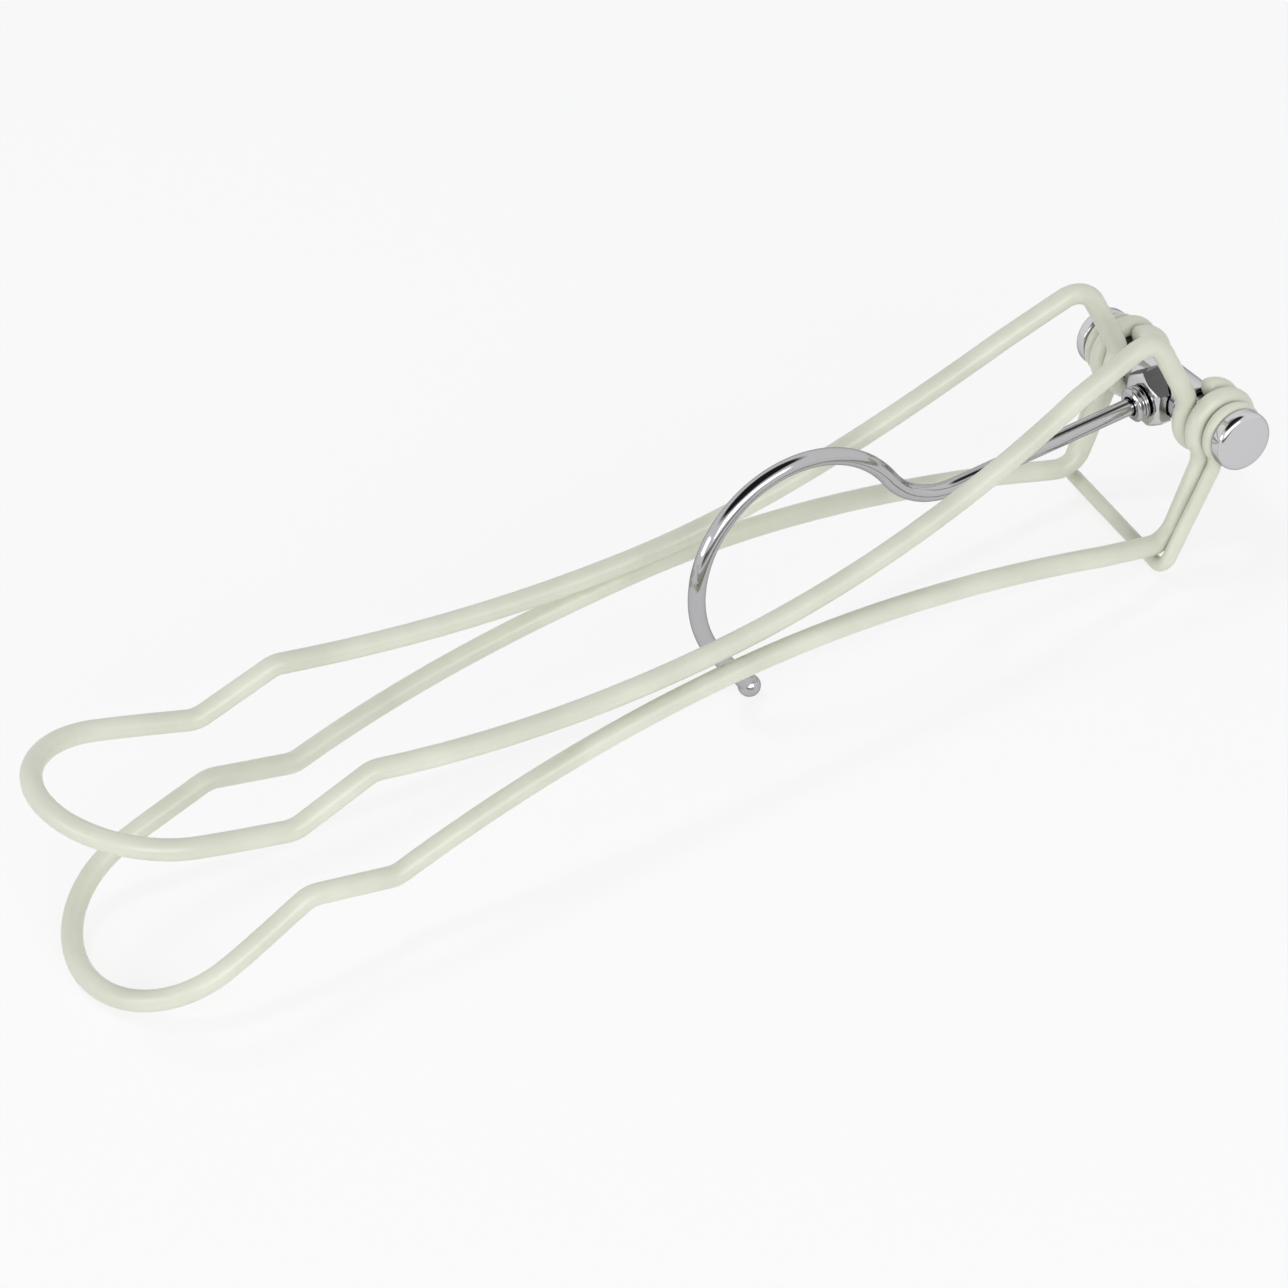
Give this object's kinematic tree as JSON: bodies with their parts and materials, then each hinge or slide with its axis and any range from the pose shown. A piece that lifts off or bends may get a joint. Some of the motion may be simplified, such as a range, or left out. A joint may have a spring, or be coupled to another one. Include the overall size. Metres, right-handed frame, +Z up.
{
  "type": "folding hanger",
  "caption": "Folding clothes hanger of coated wire: hairpin arms folded flat about a cross axle, with a chrome swivel hook between them and a wire stop bail.",
  "frame": {"origin": "centre of the bounding box on the surface it lies on", "axes": "+X runs from the arms' round ends to the axle; Y along the axle, the picture's near end at -Y; +Z up, from the outer arm to the inner arm"},
  "size_m": [0.222, 0.0434, 0.0463],
  "materials": {
    "coated_wire": "pale greenish ivory plastic coating over steel wire, soft gloss",
    "bright_metal": "bright plated steel"
  },
  "bodies": {
    "hub": {"axle_post": "bright_metal", "axle_screw": "bright_metal", "pivot_barrel": "bright_metal", "hex_boss": "bright_metal"},
    "inner_arm": {"inner_arm": "coated_wire"},
    "outer_arm": {"outer_arm": "coated_wire", "stop_bail": "coated_wire"},
    "hook": {"hook_wire": "bright_metal", "hook_collar": "bright_metal"}
  },
  "joints": [
    {"name": "inner_arm_fold", "type": "hinge", "parent": "hub", "child": "inner_arm", "pos_m": [0.10416, 0, 0.02565], "axis": [0, 1, 0], "range_deg": [0, 118]},
    {"name": "outer_arm_fold", "type": "hinge", "parent": "hub", "child": "outer_arm", "pos_m": [0.10416, 0, 0.02565], "axis": [0, -1, 0], "range_deg": [0, 118]},
    {"name": "hook_swivel", "type": "hinge", "parent": "hub", "child": "hook", "pos_m": [0.09796, 0, 0.02548], "axis": [-0.9996, 0, -0.0275], "range_deg": [-50, 50]}
  ]
}
